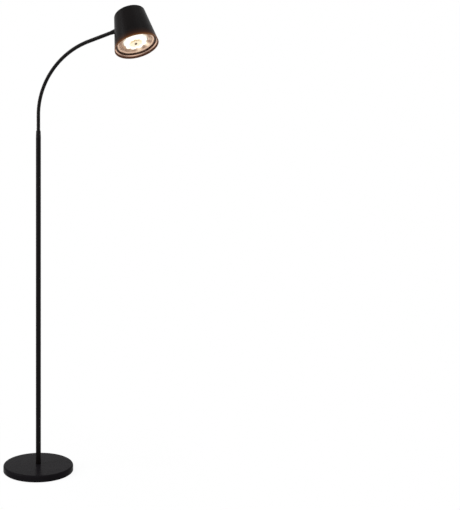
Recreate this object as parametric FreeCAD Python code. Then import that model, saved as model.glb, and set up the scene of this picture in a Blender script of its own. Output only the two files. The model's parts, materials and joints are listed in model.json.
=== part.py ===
import FreeCAD, Part
import math
import os
from FreeCAD import Placement, Rotation, Vector

# Gooseneck reading floor lamp. Millimetres, +Z up. The origin is the centre of the base's underside, on the
# pole's axis. The gooseneck leaves the pole upwards and bends over towards +X. The head's own pieces are drawn
# in the head's frame, with the rim's centre at its origin, +Z up through the shade and the neck coming in from
# -X, and then placed at the end of the neck.

# ---------------------------------------------------------------- driving sizes
# base
base_radius = 110.0
base_height = 19.5
base_edge_radius = 5.0
cover_wall = 1.2
cover_floor_gap = 1.2
pad_thickness = 2.0
nut_pocket_radius = 15.0
nut_pocket_depth = 9.0

# cord inlet in the base's edge, on the side away from the head
inlet_height = 10.0
inlet_hole_radius = 4.6
inlet_cord_radius = 3.1
inlet_flange_radius = 5.8
inlet_flange_thickness = 1.4
cord_channel_width = 15.0

# clamping tube between base and pole
nipple_radius = 5.0
nipple_bore_radius = 3.0
nipple_rise = 22.0
nipple_tail = 2.5
base_nut_width = 17.0
base_nut_thickness = 4.5
base_washer_radius = 12.0
washer_thickness = 1.2

# pole
pole_radius = 8.0
pole_wall = 1.2
pole_length = 1027.0
pole_sections = 3
plug_length = 30.0
coupler_length = 50.0
coupler_bore_radius = 3.5

# collar between pole and neck
ferrule_length = 24.5
ferrule_foot_radius = 8.2
ferrule_top_radius = 7.2
ferrule_edge = 0.8
stud_radius = 4.0
stud_bore_radius = 2.5
stud_reach_down = 16.0
stud_reach_up = 10.0

# gooseneck: a straight foot, one round bend and a straight end that points at the head's axis
neck_radius = 6.0
neck_groove_radius = 5.2
neck_foot_length = 49.5
neck_bend_radius = 222.0
neck_bend_angle = 75.5
neck_end_length = 142.0
neck_hinges = 8
ribs_per_link = 6
hose_sides = 16
hinge_half_gap = 1.6
knuckle_radius = 3.0
knuckle_width = 8.0
knuckle_root = 1.0

# end sleeve of the neck, at the shade
sleeve_length = 14.0
sleeve_end_radius = 7.8

# shade
shade_rim_radius = 66.7
shade_top_radius = 46.8
shade_length = 112.0
shade_wall = 1.2
shade_edge_radius = 4.0
shade_hem_height = 2.2
shade_hem_depth = 1.2
neck_entry_height = 74.0
head_twist = 9.9

# threaded end of the neck inside the shade
thread_radius = 5.0
thread_bore_radius = 3.0
thread_in_sleeve = 11.0
thread_end_gap = 38.0
neck_nut_width = 14.0
neck_nut_thickness = 5.0
neck_washer_radius = 8.5
saddle_radius = 8.0

# strap that carries the light unit
strap_width = 18.0
strap_thickness = 2.0
strap_leg_top = 84.0
strap_foot_height = 56.0
strap_foot_end = 30.0
strap_screw_spacing = 9.0

# light unit
lens_gap = 5.2
lens_thickness = 2.4
lens_height = 9.6
optic_petals = 9
optic_petal_radius = 9.5
optic_petal_circle = 25.0
optic_thickness = 9.0
centre_screw_head_radius = 4.0
centre_screw_head_height = 1.2
reflector_inset = 2.4
reflector_throat_radius = 38.5
reflector_depth = 6.4
reflector_wall = 1.0
reflector_facets = 24
board_radius = 40.0
board_thickness = 1.6
led_size = 3.5
led_thickness = 0.8
sink_radius = 46.0
sink_plate_thickness = 5.0
sink_boss_radius = 17.0
sink_fins = 16
sink_fin_thickness = 1.6
sink_fin_top = 52.0
sink_wire_hole_radius = 2.6
sink_wire_place = 34.0
ring_lower_edge = 6.5
ring_upper_edge = 14.0
ring_band = 1.0
ring_lap = 1.6
ring_tab_count = 4
ring_first_tab_angle = -35.0
ring_tab_width = 6.0
ring_tab_height = 2.6
ring_tab_depth = 1.4

# supply inside the shade
driver_length = 50.0
driver_width = 28.0
driver_height = 15.0
driver_start = -20.0
driver_edge_radius = 2.0
terminal_length = 16.0
terminal_width = 18.0
terminal_height = 9.0
wire_radius = 1.0
wire_bend_radius = 2.4
wire_spacing = 2.4

# screws
screw_radius = 1.5
screw_head_radius = 2.8
screw_head_height = 1.8
screw_depth = 6.0

# clearances
fit = 0.05
seat = 0.1
loose = 0.3

# ---------------------------------------------------------------- derived places
Z_AXIS = Vector(0, 0, 1)
Y_AXIS = Vector(0, 1, 0)
X_AXIS = Vector(1, 0, 0)
ORIGIN = Vector(0, 0, 0)

cover_inner_radius = base_radius - cover_wall
cover_ceiling = base_height - cover_wall
weight_radius = cover_inner_radius - loose
pocket_ceiling = pad_thickness + nut_pocket_depth
pole_top = base_height + pole_length
pole_bore_radius = pole_radius - pole_wall
plug_radius = pole_bore_radius - fit
ferrule_top = pole_top + ferrule_length
shade_slope = (shade_rim_radius - shade_top_radius) / shade_length
wall_across = shade_wall * math.hypot(1.0, shade_slope)
entry_wall_radius = shade_rim_radius - shade_slope * neck_entry_height
lens_radius = shade_rim_radius - shade_slope * lens_height - wall_across - lens_gap
reflector_rim_radius = lens_radius - reflector_inset
leg_top_wall_radius = shade_rim_radius - shade_slope * strap_leg_top - wall_across - loose
strap_leg_offset = math.sqrt(leg_top_wall_radius ** 2 - (strap_width / 2) ** 2)
strap_screw_place = driver_start - 2 * screw_head_radius
bend_arc_length = neck_bend_radius * math.radians(neck_bend_angle)
neck_axis_length = neck_foot_length + bend_arc_length + neck_end_length
ribbed_length = neck_axis_length - entry_wall_radius - sleeve_length
hinge_spacing = ribbed_length / neck_hinges
optic_height = lens_height + lens_thickness + seat
board_height = optic_height + optic_thickness + seat
sink_height = board_height + board_thickness
strap_top = strap_foot_height + strap_thickness
driver_top = strap_top + driver_height


def save(name, shape):
    """Writes one piece as parts/NAME.step."""
    shape.exportStep(os.path.join("parts", name + ".step"))


def rod(radius, low, high, axis=Z_AXIS, foot=ORIGIN):
    """A cylinder along an axis, from low to high measured from foot."""
    return Part.makeCylinder(radius, high - low, foot + axis * low, axis)


def tube(outer, inner, low, high, axis=Z_AXIS, foot=ORIGIN):
    """A pipe along an axis."""
    return rod(outer, low, high, axis, foot).cut(rod(inner, low, high, axis, foot))


def block(x_low, x_high, y_low, y_high, z_low, z_high):
    """A box between two corners."""
    size = (x_high - x_low, y_high - y_low, z_high - z_low)
    return Part.makeBox(*size, Vector(x_low, y_low, z_low))


def turned(outline):
    """A solid of revolution about Z from (radius, height) points."""
    points = [Vector(radius, 0, height) for radius, height in outline]
    face = Part.Face(Part.makePolygon(points + points[:1]))
    return face.revolve(ORIGIN, Z_AXIS, 360)


def hex_nut(width, bore, low, high, axis=Z_AXIS, foot=ORIGIN):
    """A six-sided nut, width across its flats."""
    corner = width / math.sqrt(3)
    turns = [math.radians(60 * k) for k in range(6)]
    points = [Vector(corner * math.cos(t), corner * math.sin(t), 0) for t in turns]
    prism = Part.Face(Part.makePolygon(points + points[:1])).extrude(Z_AXIS * (high - low))
    prism.Placement = Placement(foot + axis * low, Rotation(Z_AXIS, axis))
    return prism.cut(rod(bore, low, high, axis, foot))


def edges_at(shape, height, radius):
    """The round edges of a shape at one height and radius."""
    found = []
    for edge in shape.Edges:
        curve = edge.Curve
        if isinstance(curve, Part.Circle) and abs(curve.Radius - radius) < 1e-6:
            if abs(edge.BoundBox.ZMin - height) < 1e-6:
                found.append(edge)
    return found


def bevelled_disc(radius, low, high, bevel):
    """A disc whose upper edge is bevelled."""
    return turned([(0, low), (radius, low), (radius, high - bevel), (radius - bevel, high), (0, high)])


# ---------------------------------------------------------------- base
def inlet_rod(radius, low, high):
    """A cylinder along the cord inlet's axis, measured outwards from the pole's axis."""
    return rod(radius, low, high, X_AXIS * -1, Vector(0, 0, inlet_height))


def make_base():
    cover = rod(base_radius, cover_floor_gap, base_height)
    cover = cover.makeFillet(base_edge_radius, edges_at(cover, base_height, base_radius))
    bevel = base_edge_radius / 2
    cover = cover.cut(bevelled_disc(cover_inner_radius, cover_floor_gap, cover_ceiling, bevel))
    cover = cover.cut(rod(nipple_radius + loose, 0, base_height))
    cover = cover.cut(inlet_rod(inlet_hole_radius, cover_inner_radius - cover_wall, base_radius + cover_wall))
    save("base_cover", cover)

    weight = bevelled_disc(weight_radius, pad_thickness, cover_ceiling, bevel)
    weight = weight.cut(rod(nipple_radius + loose, pad_thickness, cover_ceiling))
    weight = weight.cut(rod(nut_pocket_radius, pad_thickness, pocket_ceiling))
    half = cord_channel_width / 2
    channel_top = inlet_height + inlet_flange_radius + loose
    weight = weight.cut(block(-base_radius, 0, -half, half, pad_thickness, channel_top))
    pocket_roof = rod(nut_pocket_radius, pocket_ceiling, channel_top)
    pocket_roof = pocket_roof.cut(rod(nipple_radius + loose, pocket_ceiling, channel_top))
    weight = weight.fuse(pocket_roof).removeSplitter()
    save("base_weight", weight)

    save("base_pad", rod(weight_radius, 0, pad_thickness))

    inside = cover_inner_radius - inlet_flange_thickness
    grommet = inlet_rod(inlet_flange_radius, base_radius, base_radius + inlet_flange_thickness)
    grommet = grommet.fuse(inlet_rod(inlet_hole_radius - fit, inside, base_radius))
    inner_flange = inlet_rod(inlet_flange_radius, inside - loose, cover_inner_radius - loose)
    grommet = grommet.fuse(inner_flange)
    grommet = grommet.cut(inlet_rod(inlet_cord_radius, inside - cover_wall, base_radius + base_height))
    save("cord_grommet", grommet.removeSplitter())

    washer_low = pocket_ceiling - washer_thickness
    nut_low = washer_low - base_nut_thickness
    bore = nipple_radius + fit
    save("base_washer", tube(base_washer_radius, bore, washer_low, pocket_ceiling))
    save("base_nut", hex_nut(base_nut_width, bore, nut_low, washer_low))
    nipple_low = nut_low - nipple_tail
    nipple_high = base_height + nipple_rise
    save("base_nipple", tube(nipple_radius, nipple_bore_radius, nipple_low, nipple_high))


# ---------------------------------------------------------------- pole
def make_pole():
    section = pole_length / pole_sections
    names = ["pole_lower", "pole_middle", "pole_upper"]
    couplers = []
    for k in range(pole_sections):
        low = base_height + k * section
        name = names[k] if k < len(names) else "pole_extra_%d" % (k - len(names) + 1)
        save(name, tube(pole_radius, pole_bore_radius, low, low + section))
        if k:
            half = coupler_length / 2
            couplers.append(tube(plug_radius, coupler_bore_radius, low - half, low + half))
    save("pole_couplers", Part.makeCompound(couplers))
    foot_plug = tube(plug_radius, nipple_radius + fit, base_height, base_height + plug_length)
    save("pole_foot_plug", foot_plug)
    save("pole_top_plug", tube(plug_radius, stud_radius + fit, pole_top - plug_length, pole_top))

    wires = []
    wire_low = base_height - cover_wall - base_nut_thickness
    for side in (-1, 1):
        foot = Vector(side * wire_spacing / 2, 0, 0)
        wires.append(rod(wire_radius, wire_low, ferrule_top, Z_AXIS, foot))
    save("pole_wires", Part.makeCompound(wires))


# ---------------------------------------------------------------- gooseneck
def neck_place(s):
    """The neck's frame at length s: Z runs along the neck, Y across its bend."""
    turn = min(max(s - neck_foot_length, 0.0), bend_arc_length) / neck_bend_radius
    beyond = max(s - neck_foot_length - bend_arc_length, 0.0)
    x = neck_bend_radius * (1 - math.cos(turn)) + beyond * math.sin(turn)
    z = min(s, neck_foot_length) + neck_bend_radius * math.sin(turn) + beyond * math.cos(turn)
    return Placement(Vector(x, 0, ferrule_top + z), Rotation(Y_AXIS, math.degrees(turn)))


def hinge_length(k):
    """How far along the neck hinge k lies."""
    return (k + 0.5) * hinge_spacing


def hose_ring(s, radius):
    """Points round the hose at length s."""
    place = neck_place(s)
    turns = [2 * math.pi * (k + 0.5) / hose_sides for k in range(hose_sides)]
    return [place.multVec(Vector(radius * math.cos(t), radius * math.sin(t), 0)) for t in turns]


def ribbed_link(start, end, ribs):
    """A stretch of ribbed hose along the neck's line. Flat facets keep its many ribs light."""
    rings = []
    for k in range(2 * ribs + 1):
        radius = neck_radius if k % 2 else neck_groove_radius
        rings.append(hose_ring(start + (end - start) * k / (2 * ribs), radius))
    faces = [Part.Face(Part.makePolygon(ring + ring[:1])) for ring in (rings[0], rings[-1])]
    for low, high in zip(rings, rings[1:]):
        for k in range(hose_sides):
            after = (k + 1) % hose_sides
            for corners in ((low[k], low[after], high[after]), (low[k], high[after], high[k])):
                faces.append(Part.Face(Part.makePolygon([*corners, corners[0]])))
    return Part.makeSolid(Part.makeShell(faces))


def at_hinge(k, shape):
    """Moves a shape drawn round the hinge's axis Y to hinge k. Every second hinge sways sideways."""
    if k % 2:
        shape.rotate(ORIGIN, Z_AXIS, 90)
    place = neck_place(hinge_length(k))
    shape.Placement = place.multiply(shape.Placement)
    return shape


def knuckle(k):
    """The round-ended tongue on which the next link turns."""
    half = knuckle_width / 2
    root = -hinge_half_gap - knuckle_root
    tongue = block(-knuckle_radius, knuckle_radius, -half, half, root, 0)
    tongue = tongue.fuse(rod(knuckle_radius, -half, half, Y_AXIS))
    return at_hinge(k, tongue.removeSplitter())


def cradle(k):
    """The hollow that holds a knuckle."""
    half = knuckle_width / 2 + seat
    return at_hinge(k, rod(knuckle_radius + fit, -half, half, Y_AXIS))


def make_neck():
    ferrule = turned([
        (stud_radius + fit, pole_top),
        (ferrule_foot_radius, pole_top),
        (ferrule_top_radius, ferrule_top - ferrule_edge),
        (ferrule_top_radius - ferrule_edge, ferrule_top),
        (stud_radius + fit, ferrule_top),
    ])
    save("neck_ferrule", ferrule)
    stud_low = pole_top - stud_reach_down
    stud_high = ferrule_top + stud_reach_up
    save("neck_stud", tube(stud_radius, stud_bore_radius, stud_low, stud_high))

    for k in range(neck_hinges + 1):
        start = hinge_length(k - 1) + hinge_half_gap if k else 0.0
        end = hinge_length(k) - hinge_half_gap if k < neck_hinges else ribbed_length
        at_an_end = k == 0 or k == neck_hinges
        ribs = ribs_per_link // 2 if at_an_end else ribs_per_link
        link = ribbed_link(start, end, ribs)
        if k < neck_hinges:
            link = link.fuse(knuckle(k))
        if k:
            link = link.cut(cradle(k - 1))
        else:
            link = link.cut(rod(stud_radius + fit, ferrule_top, stud_high + seat))
        save("neck_link_%d" % k, link)


# ---------------------------------------------------------------- head
def head_place():
    """Where the head's own frame stands at the end of the neck."""
    end = neck_place(neck_axis_length).Base
    lean = Rotation(Y_AXIS, neck_bend_angle - 90)
    twist = Rotation(X_AXIS, -head_twist)
    return Placement(end, lean.multiply(twist)).multiply(
        Placement(Vector(0, 0, -neck_entry_height), Rotation())
    )


def save_in_head(name, shape):
    """Places a piece drawn in the head's frame, and writes it."""
    shape.Placement = head_place().multiply(shape.Placement)
    save(name, shape)


def wall_radius(height):
    """The shade's outer radius at a height above its rim."""
    return shade_rim_radius - shade_slope * height


def cone_inside(inset, low, high):
    """A solid cone that lies inset from the shade's outer face, measured across the axis."""
    return Part.makeCone(
        wall_radius(low) - inset, wall_radius(high) - inset, high - low, Vector(0, 0, low), Z_AXIS
    )


def neck_rod(radius, inner, outer):
    """A cylinder along the neck's end, from inner to outer distance from the head's axis."""
    return rod(radius, inner, outer, X_AXIS * -1, Vector(0, 0, neck_entry_height))


def around(count, first, shape):
    """Copies of a shape turned evenly about the head's axis."""
    copies = []
    for k in range(count):
        copy = shape.copy()
        copy.rotate(ORIGIN, Z_AXIS, first + 360.0 * k / count)
        copies.append(copy)
    return copies


def screw(head_side, place):
    """A pan-head screw whose head bears on place, with its shank pointing away from head_side (1 is up)."""
    head = rod(screw_head_radius, 0, screw_head_height)
    shank = rod(screw_radius, -screw_depth, 0)
    body = head.fuse(shank)
    if head_side < 0:
        body.rotate(ORIGIN, X_AXIS, 180)
    body.translate(place)
    return body


def make_shade():
    shell = cone_inside(0, 0, shade_length)
    shell = shell.makeFillet(shade_edge_radius, edges_at(shell, shade_length, shade_top_radius))
    hollow = cone_inside(wall_across, -shade_hem_height, shade_length - shade_wall)
    shell = shell.cut(hollow)
    hem = cone_inside(wall_across - fit, 0, shade_hem_height)
    hem = hem.cut(cone_inside(wall_across + shade_hem_depth, 0, shade_hem_height))
    shell = shell.fuse(hem).removeSplitter()
    shell = shell.cut(neck_rod(thread_radius + fit, sink_boss_radius, shade_rim_radius))
    save_in_head("shade", shell)


def make_neck_end():
    """The sleeve outside the shade, and what clamps the neck to the shade's wall."""
    start = entry_wall_radius + sleeve_length
    sleeve = Part.makeCone(
        neck_radius,
        sleeve_end_radius,
        sleeve_length + neck_radius,
        Vector(-start, 0, neck_entry_height),
        X_AXIS,
    )
    sleeve = sleeve.cut(cone_inside(-seat, 0, shade_length))
    sleeve = sleeve.cut(neck_rod(thread_radius + fit, 0, entry_wall_radius + thread_in_sleeve))
    save_in_head("neck_end_sleeve", sleeve)

    thread_out = entry_wall_radius + thread_in_sleeve - seat
    thread = neck_rod(thread_radius, thread_end_gap, thread_out)
    thread = thread.cut(neck_rod(thread_bore_radius, 0, thread_out - wall_across))
    save_in_head("neck_end_thread", thread)

    saddle = neck_rod(saddle_radius, strap_leg_offset, entry_wall_radius)
    saddle = saddle.common(cone_inside(wall_across + 2 * seat, 0, shade_length))
    saddle = saddle.cut(neck_rod(thread_radius + fit, 0, shade_rim_radius))
    save_in_head("saddle_spacer", saddle)

    leg_inner = strap_leg_offset - strap_thickness
    washer_inner = leg_inner - washer_thickness
    nut_inner = washer_inner - neck_nut_thickness
    hole = thread_radius + fit
    washer = neck_rod(neck_washer_radius, washer_inner, leg_inner)
    save_in_head("neck_washer", washer.cut(neck_rod(hole, washer_inner, leg_inner)))
    entry = Vector(0, 0, neck_entry_height)
    nut = hex_nut(neck_nut_width, hole, nut_inner, washer_inner, X_AXIS * -1, entry)
    save_in_head("neck_nut", nut)


def strap_screw_points(height):
    """Where the two strap screws pass a height."""
    half = strap_screw_spacing / 2
    return [Vector(strap_screw_place, side * half, height) for side in (-1, 1)]


def board_screw_points(height):
    """Where the three board screws pass a height: between petals, near the board's edge."""
    reach = board_radius - 2 * screw_head_radius
    turns = [math.radians(180.0 / optic_petals + 120 * k) for k in range(3)]
    return [Vector(reach * math.cos(t), reach * math.sin(t), height) for t in turns]


def make_strap():
    half = strap_width / 2
    leg = block(-strap_leg_offset, -strap_leg_offset + strap_thickness, -half, half,
                strap_foot_height, strap_leg_top)
    foot = block(-strap_leg_offset, strap_foot_end, -half, half, strap_foot_height, strap_top)
    strap = leg.fuse(foot).removeSplitter()
    strap = strap.cut(neck_rod(thread_radius + fit, 0, shade_rim_radius))
    screws = []
    for place in strap_screw_points(strap_top):
        strap = strap.cut(rod(screw_radius + fit, -screw_depth, 0, Z_AXIS, place))
        screws.append(screw(1, place))
    save_in_head("strap_bracket", strap)
    save_in_head("strap_screws", Part.makeCompound(screws))


def make_sink():
    plate_top = sink_height + sink_plate_thickness
    sink = rod(sink_radius, sink_height, plate_top)
    boss = rod(sink_boss_radius, plate_top, strap_foot_height)
    screw_pad = rod(sink_boss_radius / 2, plate_top, strap_foot_height, Z_AXIS,
                    Vector(strap_screw_place, 0, 0))
    half = sink_fin_thickness / 2
    fin = block(sink_boss_radius - half, sink_radius - half, -half, half, plate_top, sink_fin_top)
    fins = around(sink_fins, 180.0 / sink_fins, fin)
    sink = sink.multiFuse([boss, screw_pad] + fins).removeSplitter()
    for place in strap_screw_points(strap_foot_height):
        sink = sink.cut(rod(screw_radius + fit, -screw_depth, 0, Z_AXIS, place))
    for place in board_screw_points(sink_height):
        sink = sink.cut(rod(screw_radius + fit, 0, screw_depth, Z_AXIS, place))
    centre_hole = rod(screw_radius + fit, sink_height, plate_top)
    wire_hole = rod(sink_wire_hole_radius, sink_height, plate_top, Z_AXIS,
                    Vector(sink_wire_place, 0, 0))
    save_in_head("heat_sink", sink.cut(centre_hole).cut(wire_hole))


def make_board():
    board = rod(board_radius, board_height, sink_height)
    screws = []
    for place in board_screw_points(board_height):
        board = board.cut(rod(screw_radius + fit, 0, board_thickness, Z_AXIS, place))
        screws.append(screw(-1, place))
    board = board.cut(rod(screw_radius + fit, board_height, sink_height))
    save_in_head("led_board", board)
    save_in_head("board_screws", Part.makeCompound(screws))
    half = led_size / 2
    led = block(optic_petal_circle - half, optic_petal_circle + half, -half, half,
                board_height - led_thickness, board_height)
    save_in_head("leds", Part.makeCompound(around(optic_petals, 0, led)))


def facet_ring(radius, height):
    """The corners of the reflector's facets at one height."""
    turns = [2 * math.pi * k / reflector_facets for k in range(reflector_facets)]
    return [Vector(radius * math.cos(t), radius * math.sin(t), height) for t in turns]


def faceted_ring(outline):
    """A closed band of flat facets round the axis, from (radius, height) points."""
    rings = [facet_ring(radius, height) for radius, height in outline]
    faces = []
    for low, high in zip(rings, rings[1:] + rings[:1]):
        for k in range(reflector_facets):
            after = (k + 1) % reflector_facets
            corners = [low[k], low[after], high[after], high[k]]
            faces.append(Part.Face(Part.makePolygon(corners + corners[:1])))
    return Part.makeSolid(Part.makeShell(faces))


def make_optics():
    roof = optic_height + optic_thickness
    petal = rod(optic_petal_radius, optic_height, roof, Z_AXIS, Vector(optic_petal_circle, 0, 0))
    hub = rod(optic_petal_circle, optic_height, roof)
    optic = hub.multiFuse(around(optic_petals, 0, petal)).removeSplitter()
    room = led_thickness + loose
    chip_room = tube(optic_petal_circle + led_size, optic_petal_circle - led_size, roof - room, roof)
    optic = optic.cut(chip_room).cut(rod(screw_radius + fit, optic_height, roof))
    save_in_head("petal_optic", optic)

    low = optic_height
    top = low + reflector_depth
    save_in_head("reflector", faceted_ring([
        (reflector_rim_radius, low),
        (reflector_rim_radius, low + reflector_wall),
        (reflector_throat_radius, top + reflector_wall),
        (reflector_throat_radius, top),
    ]))

    lens = rod(lens_radius, lens_height, lens_height + lens_thickness)
    save_in_head("cover_lens", lens.cut(rod(screw_radius + fit, 0, sink_height)))
    head = rod(centre_screw_head_radius, lens_height - centre_screw_head_height, lens_height)
    shank = rod(screw_radius, lens_height, sink_height + sink_plate_thickness - loose)
    save_in_head("lens_screw", head.fuse(shank))


def make_retaining_ring():
    """The ring that holds the lens up in the shade, with tabs on its lower edge."""
    def outer(height):
        return wall_radius(height) - wall_across - seat

    shelf_top = lens_height - seat
    shelf_low = shelf_top - ring_band
    shelf_edge = lens_radius - ring_lap
    ring = turned([
        (outer(ring_lower_edge), ring_lower_edge),
        (outer(ring_upper_edge), ring_upper_edge),
        (outer(ring_upper_edge) - ring_band, ring_upper_edge),
        (outer(shelf_top) - ring_band, shelf_top),
        (shelf_edge, shelf_top),
        (shelf_edge, shelf_low),
        (outer(shelf_low) - ring_band, shelf_low),
        (outer(ring_lower_edge) - ring_band, ring_lower_edge),
    ])
    tab_outer = outer(ring_lower_edge + ring_tab_height) - ring_band / 2
    half = ring_tab_width / 2
    tab = block(-tab_outer, -tab_outer + ring_tab_depth + ring_band / 2, -half, half,
                ring_lower_edge, ring_lower_edge + ring_tab_height)
    ring = ring.multiFuse(around(ring_tab_count, ring_first_tab_angle, tab)).removeSplitter()
    save_in_head("retaining_ring", ring)


def straight_wire(start, end):
    """A straight wire between two points."""
    run = end - start
    return Part.makeCylinder(wire_radius, run.Length, start, run)


def bent_wire(start, corner, end):
    """A wire of two runs with a round bend between them."""
    into = (corner - start).normalize()
    away = (end - corner).normalize()
    bend_start = corner - into * wire_bend_radius
    bend_end = corner + away * wire_bend_radius
    middle = corner + (away - into) * wire_bend_radius * (1 - math.sqrt(0.5))
    runs = [Part.makeLine(start, bend_start), Part.makeLine(bend_end, end)]
    bend = Part.Arc(bend_start, middle, bend_end).toShape()
    section = Part.Wire(Part.makeCircle(wire_radius, start, into))
    return Part.Wire([runs[0], bend, runs[1]]).makePipeShell([section], True, False)


def make_supply():
    half = driver_width / 2
    end = driver_start + driver_length
    driver = block(driver_start, end, -half, half, strap_top, driver_top)
    upright = [e for e in driver.Edges if abs(e.BoundBox.ZLength - driver_height) < fit]
    save_in_head("led_driver", driver.makeFillet(driver_edge_radius, upright))
    middle = driver_start + driver_length / 2
    block_start = middle - terminal_length / 2
    terminal = block(block_start, middle + terminal_length / 2, -terminal_width / 2,
                     terminal_width / 2, driver_top, driver_top + terminal_height)
    save_in_head("terminal_block", terminal)

    supply = []
    board_leads = []
    for side in (-1, 1):
        y = side * wire_spacing / 2
        inside_thread = Vector(-thread_end_gap - wire_spacing, y, neck_entry_height)
        at_terminal = Vector(block_start - loose, y, driver_top + terminal_height / 2)
        supply.append(straight_wire(inside_thread, at_terminal))
        corner = Vector(sink_wire_place, y, strap_top + driver_height / 3)
        at_driver = Vector(end + seat, y, corner.z)
        at_board = Vector(sink_wire_place, y, sink_height + seat)
        board_leads.append(bent_wire(at_driver, corner, at_board))
    save_in_head("neck_wires", Part.makeCompound(supply))
    save_in_head("driver_wires", Part.makeCompound(board_leads))


def make_head():
    make_shade()
    make_neck_end()
    make_strap()
    make_sink()
    make_board()
    make_optics()
    make_retaining_ring()
    make_supply()


os.makedirs("parts", exist_ok=True)
make_base()
make_pole()
make_neck()
make_head()
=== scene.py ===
"""Gooseneck reading floor lamp: finishes, the wound gooseneck, pole tubes, stage, lights, camera.

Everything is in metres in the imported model's frame: the origin is the centre of the base's
underside, +Z is up, and the gooseneck bends over towards +X.
"""
import json
import math

import bpy
from mathutils import Matrix, Vector


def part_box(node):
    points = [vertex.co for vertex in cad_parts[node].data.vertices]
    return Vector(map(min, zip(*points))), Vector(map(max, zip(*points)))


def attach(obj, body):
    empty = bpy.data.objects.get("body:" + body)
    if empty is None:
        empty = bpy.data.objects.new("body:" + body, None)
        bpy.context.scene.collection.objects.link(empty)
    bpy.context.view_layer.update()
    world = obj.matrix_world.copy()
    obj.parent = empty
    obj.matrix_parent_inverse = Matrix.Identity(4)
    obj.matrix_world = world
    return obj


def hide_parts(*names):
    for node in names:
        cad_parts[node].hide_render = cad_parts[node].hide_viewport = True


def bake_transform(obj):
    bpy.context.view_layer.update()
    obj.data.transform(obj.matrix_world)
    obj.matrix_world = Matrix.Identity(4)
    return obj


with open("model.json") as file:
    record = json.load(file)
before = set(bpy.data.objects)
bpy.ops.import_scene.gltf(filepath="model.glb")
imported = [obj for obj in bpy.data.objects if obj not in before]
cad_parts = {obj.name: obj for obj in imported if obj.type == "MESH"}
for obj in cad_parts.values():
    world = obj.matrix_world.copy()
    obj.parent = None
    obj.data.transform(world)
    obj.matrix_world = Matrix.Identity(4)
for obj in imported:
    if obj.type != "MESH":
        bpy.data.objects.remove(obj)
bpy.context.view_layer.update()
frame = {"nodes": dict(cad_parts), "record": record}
nodes = frame["nodes"]
MM = 0.001

# ------------------------------------------------------------------ sizes, as in the part's source
POLE_RADIUS = 8.0 * MM
NECK_RADIUS = 6.0 * MM
NECK_GROOVE_RADIUS = 5.2 * MM
NECK_FOOT = 49.5 * MM
NECK_BEND_RADIUS = 222.0 * MM
NECK_BEND_ANGLE = math.radians(75.5)
NECK_END = 142.0 * MM
NECK_HINGES = 8
SLEEVE_LENGTH = 14.0 * MM
ENTRY_HEIGHT = 74.0 * MM
HEAD_TWIST = math.radians(9.9)
SHADE_RIM_RADIUS = 66.7 * MM
SHADE_TOP_RADIUS = 46.8 * MM
SHADE_LENGTH = 112.0 * MM
LENS_HEIGHT = 9.6 * MM

ferrule_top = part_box("neck_ferrule")[1].z
bend_arc = NECK_BEND_RADIUS * NECK_BEND_ANGLE
neck_length = NECK_FOOT + bend_arc + NECK_END
shade_slope = (SHADE_RIM_RADIUS - SHADE_TOP_RADIUS) / SHADE_LENGTH
entry_wall_radius = SHADE_RIM_RADIUS - shade_slope * ENTRY_HEIGHT
ribbed_length = neck_length - entry_wall_radius - SLEEVE_LENGTH
hinge_spacing = ribbed_length / NECK_HINGES


def neck_frame(s):
    """The gooseneck's centre, its direction, and the way out of its bend, at length s along it."""
    turn = min(max(s - NECK_FOOT, 0.0), bend_arc) / NECK_BEND_RADIUS
    beyond = max(s - NECK_FOOT - bend_arc, 0.0)
    x = NECK_BEND_RADIUS * (1 - math.cos(turn)) + beyond * math.sin(turn)
    z = min(s, NECK_FOOT) + NECK_BEND_RADIUS * math.sin(turn) + beyond * math.cos(turn)
    along = Vector((math.sin(turn), 0.0, math.cos(turn)))
    across = Vector((math.cos(turn), 0.0, -math.sin(turn)))
    return Vector((x, 0.0, ferrule_top + z)), along, across


# The head's own frame: its origin is the centre of the shade's rim, and its Z runs up the axis.
head_frame = (
    Matrix.Translation(neck_frame(neck_length)[0])
    @ Matrix.Rotation(NECK_BEND_ANGLE - math.pi / 2, 4, "Y")
    @ Matrix.Rotation(-HEAD_TWIST, 4, "X")
    @ Matrix.Translation((0.0, 0.0, -ENTRY_HEIGHT))
)


# ------------------------------------------------------------------ materials
NOISE_LOW, NOISE_HIGH = 0.3, 0.7  # most of a noise's values lie between these
MIX_FIRST, MIX_SECOND, MIX_RESULT = 6, 7, 2  # the Mix node's colour sockets
EVEN = (1.0, 1.0, 1.0)
LENGTHWISE = (1.0, 1.0, 12.0)


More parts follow.
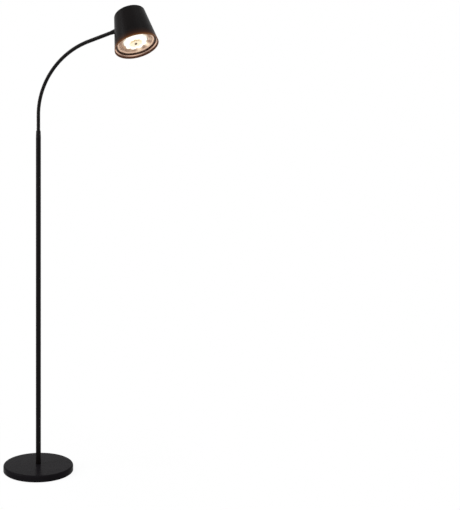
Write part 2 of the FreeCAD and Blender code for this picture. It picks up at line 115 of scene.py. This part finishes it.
class Surface:
    """A node material on one Principled shader, with helpers that add its pattern.

    Its name has a prefix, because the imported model's own materials have the slots' names.
    """

    def __init__(self, slot, roughness, metallic=0.0, specular=0.5):
        self.slot = slot
        self.material = bpy.data.materials.new("finish_" + slot)
        self.material.use_nodes = True
        self.tree = self.material.node_tree
        self.shader = self.tree.nodes["Principled BSDF"]
        self.shader.inputs["Roughness"].default_value = roughness
        self.shader.inputs["Metallic"].default_value = metallic
        self.shader.inputs["Specular IOR Level"].default_value = specular
        self.place = self.tree.nodes.new("ShaderNodeTexCoord").outputs["Object"]

    def add(self, kind, **settings):
        node = self.tree.nodes.new(kind)
        for key, value in settings.items():
            setattr(node, key, value)
        return node

    def link(self, source, target):
        self.tree.links.new(source, target)

    def calc(self, operation, first, second=None, third=None):
        """The result of a Math node on numbers or other nodes' outputs."""
        node = self.add("ShaderNodeMath", operation=operation)
        for socket, value in zip(node.inputs, (first, second, third)):
            if isinstance(value, (int, float)):
                socket.default_value = value
            elif value is not None:
                self.link(value, socket)
        return node.outputs[0]

    def waves(self, turn, count, peak):
        """A cosine with count waves round the axis, one of them at its highest at peak."""
        return self.calc("COSINE", self.calc("MULTIPLY_ADD", turn, count, -count * peak))

    def mix(self, factor, first, second):
        """The first colour where factor is 0 or less, the second where it is 1 or more."""
        node = self.add("ShaderNodeMix", data_type="RGBA")
        self.link(factor, node.inputs["Factor"])
        self.link(first, node.inputs[MIX_FIRST])
        self.link(second, node.inputs[MIX_SECOND])
        return node.outputs[MIX_RESULT]

    def noise(self, size, detail=3.0, stretch=EVEN):
        """Noise whose features are about size metres across."""
        mapping = self.add("ShaderNodeMapping")
        mapping.inputs["Scale"].default_value = stretch
        self.link(self.place, mapping.inputs["Vector"])
        noise = self.add("ShaderNodeTexNoise")
        noise.inputs["Scale"].default_value = 1.0 / size
        noise.inputs["Detail"].default_value = detail
        self.link(mapping.outputs["Vector"], noise.inputs["Vector"])
        return noise.outputs["Fac"]

    def ramp(self, factor, *stops):
        """Colours along (position, colour) stops."""
        ramp_node = self.add("ShaderNodeValToRGB")
        elements = ramp_node.color_ramp.elements
        while len(elements) < len(stops):
            elements.new(0.5)
        for element, (position, colour) in zip(elements, stops):
            element.position = position
            element.color = (*colour, 1.0)
        self.link(factor, ramp_node.inputs["Fac"])
        return ramp_node.outputs["Color"]

    def colours(self, factor, *stops):
        """A ramp on the base colour."""
        self.link(self.ramp(factor, *stops), self.shader.inputs["Base Color"])

    def vary_roughness(self, factor, middle, spread):
        """Roughness within spread of middle, along a noise."""
        span = self.add("ShaderNodeMapRange")
        span.inputs["From Min"].default_value = NOISE_LOW
        span.inputs["From Max"].default_value = NOISE_HIGH
        span.inputs["To Min"].default_value = middle - spread
        span.inputs["To Max"].default_value = middle + spread
        self.link(factor, span.inputs["Value"])
        self.link(span.outputs["Result"], self.shader.inputs["Roughness"])

    def roughen(self, where, amount):
        """Adds amount to a roughness that varies already, where where is 1."""
        roughness = self.shader.inputs["Roughness"]
        varied = roughness.links[0].from_socket
        self.link(self.calc("MULTIPLY_ADD", where, amount, varied), roughness)

    def grain(self, height_source, depth):
        """Relief, depth metres deep."""
        bump = self.add("ShaderNodeBump")
        bump.inputs["Distance"].default_value = depth
        bump.inputs["Strength"].default_value = 1.0
        self.link(height_source, bump.inputs["Height"])
        self.link(bump.outputs["Normal"], self.shader.inputs["Normal"])

    def glow(self, colour, strength=1.0):
        """Emission, of one colour or of the colour that a node gives."""
        socket = self.shader.inputs["Emission Color"]
        if isinstance(colour, tuple):
            socket.default_value = (*colour, 1.0)
        else:
            self.link(colour, socket)
        self.shader.inputs["Emission Strength"].default_value = strength

    def head_coordinates(self):
        """Radius from the head's axis, height above its rim, and turn round the axis."""
        to_head = head_frame.inverted()
        mapping = self.add("ShaderNodeMapping", vector_type="POINT")
        mapping.inputs["Location"].default_value = to_head.to_translation()
        mapping.inputs["Rotation"].default_value = to_head.to_euler()
        self.link(self.place, mapping.inputs["Vector"])
        parts = self.add("ShaderNodeSeparateXYZ")
        self.link(mapping.outputs["Vector"], parts.inputs["Vector"])
        x, y, height = parts.outputs
        squares = self.calc("ADD", self.calc("MULTIPLY", x, x), self.calc("MULTIPLY", y, y))
        return self.calc("SQRT", squares), height, self.calc("ARCTAN2", y, x)


def shaded(colour, factor):
    return tuple(channel * factor for channel in colour)


# ---------------------------------------- kinds of finish
CLOUD_SIZE = 40 * MM
CLOUD_CONTRAST = 0.1
GLOSS_CLOUD_SIZE = 12 * MM
COAT_GLOSS_SPREAD = 0.04
PEEL_SIZE = 0.6 * MM
FINE_PEEL_SIZE = 0.3 * MM
PEEL_DEPTH = 0.02 * MM
MOTTLE_SIZE = 8 * MM
MOULD_GLOSS_SIZE = 3 * MM
MOULD_GLOSS_SPREAD = 0.06
MOULD_DEPTH = 0.015 * MM
METAL_CLOUD_SIZE = 6 * MM
METAL_MARK_SIZE = 0.8 * MM
METAL_GLOSS_SPREAD = 0.08


def powder_coat(slot, colour, roughness, specular, peel_size=PEEL_SIZE, where=None):
    """Matt paint with a fine orange-peel grain, and faint clouds in colour and gloss.

    where, if given, is a function that says on which part of the surface the grain is.
    """
    coat = Surface(slot, roughness, specular=specular)
    coat.colours(
        coat.noise(CLOUD_SIZE),
        (NOISE_LOW, shaded(colour, 1 - CLOUD_CONTRAST)),
        (NOISE_HIGH, shaded(colour, 1 + CLOUD_CONTRAST)),
    )
    coat.vary_roughness(coat.noise(GLOSS_CLOUD_SIZE), roughness, COAT_GLOSS_SPREAD)
    peel = coat.noise(peel_size, detail=2.0)
    coat.grain(coat.calc("MULTIPLY", peel, where(coat)) if where else peel, PEEL_DEPTH)
    return coat


def moulded(slot, colour, roughness, grain_size=0.4 * MM, specular=0.4):
    """Plastic or rubber with a fine eroded texture."""
    plastic = Surface(slot, roughness, specular=specular)
    mottle = plastic.noise(MOTTLE_SIZE)
    plastic.colours(mottle, (0.35, shaded(colour, 0.92)), (0.65, shaded(colour, 1.05)))
    plastic.vary_roughness(plastic.noise(MOULD_GLOSS_SIZE), roughness, MOULD_GLOSS_SPREAD)
    plastic.grain(plastic.noise(grain_size, detail=2.0), MOULD_DEPTH)
    return plastic


def bare_metal(slot, colour, roughness, stretch=LENGTHWISE, grain_depth=0.01 * MM):
    """Machined, plated or die-cast metal with fine directional marks."""
    metal = Surface(slot, roughness, metallic=1.0)
    clouds = metal.noise(METAL_CLOUD_SIZE)
    metal.colours(clouds, (NOISE_LOW, shaded(colour, 0.85)), (NOISE_HIGH, colour))
    marks = metal.noise(METAL_MARK_SIZE, detail=4.0, stretch=stretch)
    metal.vary_roughness(marks, roughness, METAL_GLOSS_SPREAD)
    metal.grain(marks, grain_depth)
    return metal


# ---------------------------------------- finishes of the lit head
BLACK = (0.0028, 0.0018, 0.0018)
BASE_BLACK = (0.0075, 0.0066, 0.0078)
NONE = (0.0, 0.0, 0.0)
WARM_WHITE = (1.0, 0.80, 0.52)
WHITE_HEART = (1.0, 0.96, 0.86)
CREAM = (0.72, 0.64, 0.46)
# Painted light and shade in the lit head: the lit browns and the ring's glow are painted light;
# the deep brown and the dark edge are painted shade.
LIT_BROWN = (0.46, 0.32, 0.26)
LIT_WALL = (0.15, 0.070, 0.045)
SHADED_BROWN = (0.055, 0.024, 0.015)
RING_GLOW = (0.42, 0.285, 0.205)
SHADED_EDGE = (0.06, 0.030, 0.018)
CLOUD_SHARE = 0.3  # how far clouds or brush marks move a colour along its ramp

RING_SHELF_END = 61.2 * MM
RING_LIT_TOP = LENS_HEIGHT - 0.2 * MM
RING_ROUGHNESS = 0.45
# Painted sheens on the ring's lit face: their number, depth and where one is brightest.
RING_SHEENS = 5
SHEEN_DEPTH = 0.42
SHEEN_PEAK = math.radians(112.0)

# How far up the outside the painted glow of the lamp's warm light reaches.
RIM_GLOW_REACH = 26.0 * MM
OUTER_SKIN = 0.5 * MM
HEM_TOP = 2.4 * MM
LIT_WALL_TOP = 20.0 * MM
# The hem's painted shade and the lit wall's painted light, placed along the shade's ramp:
HEM_STEP = 0.30  # how far along the shade's ramp the hem's colours start
WALL_STEP = 0.35  # how much further along it the lit wall's colours start
TOP_ROUGHER = 0.34

OPTIC_PETALS = 9
OPTIC_REACH = 36.0 * MM
PETAL_SWING = 0.04
OPTIC_GLOW = 1.3
LED_STRENGTH = 6.0
LENS_VEIL = 0.05
# Where the optic's painted golden light on one side is strongest.
STEP_TURN = math.radians(-75.0)

REFLECTOR_SPAN = (38.0 * MM, 57.0 * MM)
STREAKS = 9
STREAK_WANDER = 5.0
STREAK_LIFT = 0.06
MIRROR_ROUGHNESS = 0.35
# Where round the head the reflector's painted reflection of the lit petals lies, and its lobes.
MIRROR_TURN = math.radians(68.0)
MIRROR_PEAK = math.radians(93.0)
MIRROR_NARROWNESS = 3.0
PETAL_DEPTH, PETAL_LEVEL = 0.7, 0.5


def ring_metal():
    """The retaining ring, with painted light: its inner face has a lit brown and a glow, in
    lighter and darker painted sheens of pinkish brown.

    The shelf under the lens and the part above it have painted shade, in a darker brown.
    """
    metal = Surface("ring_metal", RING_ROUGHNESS, specular=0.2)
    calc = metal.calc
    radius, height, turn = metal.head_coordinates()
    on_band = calc("GREATER_THAN", radius, RING_SHELF_END)
    lit = calc("MULTIPLY", on_band, calc("LESS_THAN", height, RING_LIT_TOP))
    brushed = calc("MULTIPLY", metal.noise(METAL_CLOUD_SIZE), CLOUD_SHARE)
    # Painted light and shade: a lit brown on the band below the lens, a shaded brown on the shelf
    # and above it.
    metal.colours(
        calc("ADD", calc("MULTIPLY", lit, 1.0 - CLOUD_SHARE), brushed),
        (0.0, shaded(SHADED_BROWN, 0.8)), (0.3, SHADED_BROWN),
        (0.7, shaded(LIT_BROWN, 0.9)), (1.0, LIT_BROWN),
    )
    metal.vary_roughness(metal.noise(4 * MM), RING_ROUGHNESS, 0.03)
    # Painted light: a glow on the lit band, brighter and darker in painted sheens round the head.
    sheens = metal.waves(turn, RING_SHEENS, SHEEN_PEAK)
    sheens = calc("MULTIPLY_ADD", sheens, SHEEN_DEPTH, 1.0 - SHEEN_DEPTH)
    metal.glow(metal.ramp(calc("MULTIPLY", lit, sheens), (0.0, NONE), (1.0, RING_GLOW)))
    return metal


def off_lit_wall(surface):
    """0 on the lit part of the shade's inner face, 1 elsewhere on the shade."""
    radius, height, _ = surface.head_coordinates()
    at_rim = surface.calc("MULTIPLY_ADD", height, shade_slope, radius)
    on_skin = surface.calc("GREATER_THAN", at_rim, SHADE_RIM_RADIUS - OUTER_SKIN)
    return surface.calc("MAXIMUM", on_skin, surface.calc("GREATER_THAN", height, LIT_WALL_TOP))


def shade_paint():
    """Matt black outside, with a painted glow of the lamp's warm light fading upwards from its
    rim.

    Inside, painted light makes it brown, with painted shade on the hem, which is darker than the
    lit wall between the hem and the ring. Its top is rougher, so that it doesn't mirror a lamp at
    a low angle.
    """
    paint = powder_coat("shade_paint", BLACK, 0.36, 0.045, where=off_lit_wall)
    calc = paint.calc
    _, height, _ = paint.head_coordinates()
    outside = off_lit_wall(paint)
    inside = calc("SUBTRACT", 1.0, outside)
    above_hem = calc("GREATER_THAN", height, HEM_TOP)
    face = calc("MULTIPLY", inside, calc("MULTIPLY_ADD", above_hem, WALL_STEP, HEM_STEP))
    clouds = calc("MULTIPLY", paint.noise(CLOUD_SIZE), CLOUD_SHARE)
    # Painted light and shade: brown on the lit inner wall, darker brown as painted shade on the
    # hem.
    paint.colours(
        calc("ADD", face, clouds),
        (0.05, shaded(BLACK, 0.9)), (0.25, shaded(BLACK, 1.1)),
        (0.36, shaded(LIT_WALL, 0.50)), (0.54, shaded(LIT_WALL, 0.56)),
        (0.72, shaded(LIT_WALL, 0.90)), (0.88, LIT_WALL),
    )
    paint.roughen(calc("GREATER_THAN", height, SHADE_LENGTH - OUTER_SKIN), TOP_ROUGHER)
    # Painted glow of the lamp's warm light on the outside, fading upwards from the rim.
    near_rim = calc("SUBTRACT", 1.0, calc("DIVIDE", height, RIM_GLOW_REACH))
    paint.glow(paint.ramp(
        calc("MULTIPLY", outside, near_rim),
        (0.0, NONE), (0.4, (0.009, 0.0028, 0.0005)), (0.75, (0.036, 0.0098, 0.0014)),
        (0.93, (0.12, 0.038, 0.006)), (1.0, (0.24, 0.095, 0.020)),
    ))
    return paint


def bright_reflector():
    """Metallized, with painted light: a brownish glow, darker where it would mirror the dark
    shade, with faint streaks, a painted highlight on its lip and painted shade at its outer edge.

    Round MIRROR_TURN a painted reflection shows the lit petals.
    """
    mirror = Surface("bright_reflector", MIRROR_ROUGHNESS, metallic=0.3)
    calc = mirror.calc
    radius, _, turn = mirror.head_coordinates()
    inner, outer = REFLECTOR_SPAN
    across = calc("DIVIDE", calc("SUBTRACT", radius, inner), outer - inner)
    wander = calc("MULTIPLY", mirror.noise(40 * MM, detail=1.0), STREAK_WANDER)
    streaks = calc("SINE", calc("MULTIPLY_ADD", turn, STREAKS, wander))
    streaks = calc("MULTIPLY_ADD", streaks, 0.5, 0.5)
    mirror.colours(streaks, (0.0, (0.27, 0.17, 0.11)), (1.0, (0.33, 0.22, 0.15)))
    mirror.vary_roughness(streaks, MIRROR_ROUGHNESS, 0.03)
    # Painted light: the glow, darker where the reflector would mirror the dark shade, a painted
    # highlight on the lip, painted shade at the edge.
    plain = mirror.ramp(
        calc("MULTIPLY_ADD", streaks, STREAK_LIFT, across),
        (0.0, (0.34, 0.21, 0.13)), (0.30, (0.095, 0.052, 0.030)), (0.66, (0.095, 0.052, 0.034)),
        (0.78, (0.50, 0.35, 0.26)), (0.90, (0.44, 0.29, 0.21)), (0.97, SHADED_EDGE),
    )
    # Painted reflection of the lit petals, mixed in round MIRROR_TURN.
    petals = mirror.ramp(
        across,
        (0.0, (1.0, 0.90, 0.72)), (0.50, (0.88, 0.72, 0.52)), (0.80, (0.60, 0.45, 0.33)),
        (0.97, SHADED_EDGE),
    )
    side = calc("MAXIMUM", mirror.waves(turn, 1, MIRROR_TURN), 0.0)
    side = calc("POWER", side, MIRROR_NARROWNESS)
    lobes = mirror.waves(turn, OPTIC_PETALS, MIRROR_PEAK)
    lobes = calc("MULTIPLY_ADD", lobes, PETAL_DEPTH, PETAL_LEVEL)
    mirror.glow(mirror.mix(calc("MULTIPLY", side, lobes), plain, petals))
    return mirror


def clear_optic():
    """The moulded optic, glowing with the lamp's light: a cream hub, painted golden light on one
    side, and the petals' white heart.
    """
    optic = Surface("clear_optic", 0.2, specular=0.2)
    calc = optic.calc
    radius, _, turn = optic.head_coordinates()
    swing = calc("MULTIPLY", optic.waves(turn, OPTIC_PETALS, 0.0), PETAL_SWING)
    spread = calc("SUBTRACT", calc("DIVIDE", radius, OPTIC_REACH), swing)
    tint = optic.noise(9 * MM)
    optic.colours(tint, (NOISE_LOW, (0.16, 0.14, 0.10)), (NOISE_HIGH, (0.20, 0.17, 0.13)))
    whole = optic.ramp(
        spread,
        (0.0, (0.40, 0.30, 0.19)), (0.14, CREAM), (0.50, (0.74, 0.66, 0.48)),
        (0.62, WHITE_HEART), (0.90, (1.0, 0.94, 0.82)), (1.0, (0.66, 0.50, 0.33)),
    )
    # Painted golden light, mixed in on the side towards STEP_TURN.
    painted_golden_side = optic.ramp(
        spread,
        (0.28, CREAM), (0.38, (0.42, 0.27, 0.09)), (0.48, (0.50, 0.36, 0.14)),
        (0.58, WHITE_HEART),
    )
    optic.glow(optic.mix(optic.waves(turn, 1, STEP_TURN), whole, painted_golden_side), OPTIC_GLOW)
    return optic


def clear_lens():
    """The cover: almost nothing but a faint warm tint, painted to stand in for the lamp's warm
    light.
    """
    lens = Surface("clear_lens", 0.08)
    # The warm tint is painted to stand in for the lamp's warm light.
    tint = lens.noise(20 * MM)
    lens.colours(tint, (NOISE_LOW, (0.50, 0.37, 0.28)), (NOISE_HIGH, (0.54, 0.40, 0.30)))
    lens.grain(lens.noise(15 * MM, detail=1.0), 0.01 * MM)
    lens.shader.inputs["Alpha"].default_value = LENS_VEIL
    return lens


def led_glow():
    leds = moulded("led_glow", (1.0, 0.82, 0.5), 0.5)
    leds.glow(WARM_WHITE, LED_STRENGTH)
    return leds


# ---------------------------------------- every slot's finish
SURFACES = {
    surface.slot: surface.material
    for surface in (
        powder_coat("base_paint", BASE_BLACK, 0.30, 0.010),
        powder_coat("pole_paint", BLACK, 0.42, 0.08),
        powder_coat("hose_paint", BLACK, 0.38, 0.10, peel_size=FINE_PEEL_SIZE),
        powder_coat("ferrule_paint", BLACK, 0.36, 0.10, peel_size=FINE_PEEL_SIZE),
        powder_coat("sleeve_paint", BLACK, 0.36, 0.10, peel_size=FINE_PEEL_SIZE),
        bare_metal("cast_iron", (0.14, 0.135, 0.13), 0.7, stretch=EVEN, grain_depth=0.2 * MM),
        bare_metal("zinc_steel", (0.62, 0.63, 0.65), 0.32),
        bare_metal("brass", (0.72, 0.56, 0.28), 0.3),
        bare_metal("sink_aluminium", (0.55, 0.55, 0.57), 0.45, stretch=(1.0, 1.0, 3.0)),
        moulded("pad_rubber", (0.012, 0.012, 0.012), 0.85, grain_size=0.8 * MM, specular=0.1),
        moulded("grommet_rubber", (0.012, 0.012, 0.012), 0.6, specular=0.2),
        moulded("spacer_plastic", (0.04, 0.04, 0.04), 0.6),
        moulded("board_white", (0.8, 0.79, 0.74), 0.35),
        moulded("driver_plastic", (0.75, 0.74, 0.71), 0.5),
        moulded("terminal_plastic", (0.8, 0.79, 0.76), 0.4),
        moulded("wire_insulation", (0.25, 0.13, 0.07), 0.45),
        moulded("dark_screw", (0.12, 0.08, 0.06), 0.4, specular=0.3),
        ring_metal(),
        shade_paint(),
        bright_reflector(),
        clear_optic(),
        clear_lens(),
        led_glow(),
    )
}


def paint_nodes():
    """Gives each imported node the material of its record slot."""
    slots = {part["node"]: part["material_slot"] for part in frame["record"]["subparts"]}
    for name, node in nodes.items():
        material = SURFACES[slots[name]]
        if not node.material_slots:
            node.data.materials.append(material)
        for slot in node.material_slots:
            slot.material = material


# ------------------------------------------------------------------ new pieces
def new_piece(name, vertices, faces, slot, body=None):
    """A smooth-shaded mesh in a record slot's material, which rides on body if that is given."""
    mesh = bpy.data.meshes.new(name)
    mesh.from_pydata([tuple(v) for v in vertices], [], faces)
    mesh.validate()
    for face in mesh.polygons:
        face.use_smooth = True
    mesh.materials.append(SURFACES[slot])
    piece = bpy.data.objects.new(name, mesh)
    bpy.context.scene.collection.objects.link(piece)
    if body:
        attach(piece, body)
    return piece


def ring_faces(rings, sides, closed=False):
    """Quads between successive rings of vertices, and from the last to the first if closed."""
    faces = []
    for ring in range(rings if closed else rings - 1):
        low = ring * sides
        high = (ring + 1) % rings * sides
        for side in range(sides):
            after = (side + 1) % sides
            faces.append((low + side, low + after, high + after, high + side))
    return faces


# ---------------------------------------- pole
POLE_SECTIONS = ("pole_lower", "pole_middle", "pole_upper")
POLE_SIDES = 64
POLE_WALL = 1.2 * MM
SEAM_BEVEL = 0.35 * MM
SEAM_LEAD = 4 * SEAM_BEVEL


def smooth_pole(name):
    """A round tube in a pole section's place, its ends eased, so that each joint shows."""
    low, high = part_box(name)
    bore = POLE_RADIUS - POLE_WALL
    outline = (
        (bore, low.z + SEAM_BEVEL),
        (bore, low.z),
        (POLE_RADIUS - SEAM_BEVEL, low.z),
        (POLE_RADIUS, low.z + SEAM_BEVEL),
        (POLE_RADIUS, low.z + SEAM_LEAD),
        (POLE_RADIUS, high.z - SEAM_LEAD),
        (POLE_RADIUS, high.z - SEAM_BEVEL),
        (POLE_RADIUS - SEAM_BEVEL, high.z),
        (bore, high.z),
        (bore, high.z - SEAM_BEVEL),
    )
    vertices = []
    for radius, height in outline:
        for side in range(POLE_SIDES):
            turn = 2 * math.pi * side / POLE_SIDES
            vertices.append((radius * math.cos(turn), radius * math.sin(turn), height))
    faces = ring_faces(len(outline), POLE_SIDES, closed=True)
    piece = new_piece("tube_" + name, vertices, faces, "pole_paint", "stand")
    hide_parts(name)


# ---------------------------------------- gooseneck
HOSE_PITCH = 4.2 * MM
HOSE_STEPS_PER_TURN = 8
HOSE_SIDES = 28
HOSE_FOOT_TUCK = 6.0 * MM
HOSE_END_TUCK = 2.0 * MM
RIB_FULLNESS = 0.7


def winding_radius(s, turn):
    """The hose's outside: one rounded rib that winds round it."""
    phase = s / HOSE_PITCH - turn / (2 * math.pi)
    crest = 0.5 + 0.5 * math.cos(2 * math.pi * phase)
    return NECK_GROOVE_RADIUS + (NECK_RADIUS - NECK_GROOVE_RADIUS) * crest ** RIB_FULLNESS


def hose_piece(k):
    """The hose from halfway before hinge k to halfway after it.

    The first piece also runs down into the ferrule, and the last one on into the sleeve.
    """
    is_last = k == NECK_HINGES - 1
    start = k * hinge_spacing - (HOSE_FOOT_TUCK if k == 0 else 0.0)
    end = (k + 1) * hinge_spacing + (HOSE_END_TUCK if is_last else 0.0)
    steps = round((end - start) / HOSE_PITCH * HOSE_STEPS_PER_TURN)
    vertices = []
    for step in range(steps + 1):
        s = start + (end - start) * step / steps
        centre, along, across = neck_frame(s)
        sideways = along.cross(across)
        for side in range(HOSE_SIDES):
            turn = 2 * math.pi * side / HOSE_SIDES
            outward = across * math.cos(turn) + sideways * math.sin(turn)
            vertices.append(centre + outward * winding_radius(s, turn))
    piece = new_piece("hose_%d" % k, vertices, ring_faces(steps + 1, HOSE_SIDES), "hose_paint")
    replaced = ["neck_link_%d" % k]
    if is_last:
        replaced.append("neck_link_%d" % NECK_HINGES)
    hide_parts(*replaced)
    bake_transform(piece)


# ------------------------------------------------------------------ stage, lights and camera
WHITE = (1.0, 1.0, 1.0, 1.0)
FLOOR_COLOUR = (0.9, 0.9, 0.9, 1.0)
FLOOR_ROUGHNESS = 0.9
FLOOR_HALF = 6.0
FLOOR_SHADOW = 0.10
SHADOW_REACH = 0.6
WORLD_LIGHT = 0.6

# Each area light's place, size and power in watts.
LIGHTS = {
    "key_left": ((-1.9, -1.3, 1.9), (1.0, 2.2), 58.0),
    "fill_right": ((2.2, -0.4, 1.6), (0.4, 1.8), 5.0),
    "top": ((0.1, 0.2, 3.0), (1.8, 1.8), 14.0),
}
LIGHT_TARGET = (0.15, 0.0, 0.9)

CAMERA_PLACE = (0.7983, -1.8824, 0.716)
CAMERA_TURN = math.radians(19.11)
CAMERA_LENS = 45.6
CAMERA_SHIFT = (0.290, -0.0235)
CAMERA_NEAR, CAMERA_FAR = 0.05, 50.0


def white_rays(tree):
    """1 for a ray that sees a plain white background: from the camera, mirrored or refracted."""
    path = tree.nodes.new("ShaderNodeLightPath")
    seen = path.outputs["Is Camera Ray"]
    for kind in ("Is Glossy Ray", "Is Transmission Ray"):
        either = tree.nodes.new("ShaderNodeMath")
        either.operation = "MAXIMUM"
        tree.links.new(seen, either.inputs[0])
        tree.links.new(path.outputs[kind], either.inputs[1])
        seen = either.outputs[0]
    return seen


def floor_white():
    """White where it is seen, apart from a faint shadow that fades away from the base."""
    white = Surface("floor_white", FLOOR_ROUGHNESS, specular=0.0)
    white.shader.inputs["Base Color"].default_value = FLOOR_COLOUR
    distance = white.add("ShaderNodeVectorMath", operation="LENGTH")
    white.link(white.place, distance.inputs[0])
    fade = white.add("ShaderNodeMapRange")
    fade.inputs["From Max"].default_value = SHADOW_REACH
    fade.inputs["To Min"].default_value = 1.0 - FLOOR_SHADOW
    fade.inputs["To Max"].default_value = 1.0
    white.link(distance.outputs["Value"], fade.inputs["Value"])
    plain = white.add("ShaderNodeEmission")
    plain.inputs["Color"].default_value = WHITE
    share = white.calc("MULTIPLY", white_rays(white.tree), fade.outputs["Result"])
    mix = white.add("ShaderNodeMixShader")
    white.link(share, mix.inputs["Fac"])
    white.link(white.shader.outputs["BSDF"], mix.inputs[1])
    white.link(plain.outputs["Emission"], mix.inputs[2])
    white.link(mix.outputs["Shader"], white.tree.nodes["Material Output"].inputs["Surface"])
    return white.material


def make_floor():
    """A square floor round the object's origin."""
    signs = ((-1, -1), (1, -1), (1, 1), (-1, 1))
    mesh = bpy.data.meshes.new("floor")
    mesh.from_pydata([(x * FLOOR_HALF, y * FLOOR_HALF, 0.0) for x, y in signs], [], [(0, 1, 2, 3)])
    mesh.materials.append(floor_white())
    floor = bpy.data.objects.new("floor", mesh)
    bpy.context.scene.collection.objects.link(floor)


def make_world():
    """White where it is seen, and an even, softer grey where it lights the object."""
    world = bpy.data.worlds.new("studio")
    world.use_nodes = True
    tree = world.node_tree
    background = tree.nodes["Background"]
    background.inputs["Color"].default_value = WHITE
    strength = tree.nodes.new("ShaderNodeMapRange")
    strength.inputs["To Min"].default_value = WORLD_LIGHT
    strength.inputs["To Max"].default_value = 1.0
    tree.links.new(white_rays(tree), strength.inputs["Value"])
    tree.links.new(strength.outputs["Result"], background.inputs["Strength"])
    bpy.context.scene.world = world


def make_lights():
    for name, (place, size, power) in LIGHTS.items():
        data = bpy.data.lights.new(name, "AREA")
        data.shape = "RECTANGLE"
        data.size, data.size_y = size
        data.energy = power
        light = bpy.data.objects.new(name, data)
        light.location = place
        aim = Vector(LIGHT_TARGET) - Vector(place)
        light.rotation_euler = aim.to_track_quat("-Z", "Y").to_euler()
        bpy.context.scene.collection.objects.link(light)


def make_camera():
    data = bpy.data.cameras.new("camera")
    data.lens = CAMERA_LENS
    data.shift_x, data.shift_y = CAMERA_SHIFT
    data.clip_start = CAMERA_NEAR
    data.clip_end = CAMERA_FAR
    camera = bpy.data.objects.new("camera", data)
    camera.location = CAMERA_PLACE
    camera.rotation_euler = (math.pi / 2, 0.0, CAMERA_TURN)
    bpy.context.scene.collection.objects.link(camera)
    bpy.context.scene.camera = camera


paint_nodes()
for section in POLE_SECTIONS:
    smooth_pole(section)
for k in range(NECK_HINGES):
    hose_piece(k)

make_floor()
make_world()
make_lights()
make_camera()
bpy.context.scene.view_settings.view_transform = "Standard"
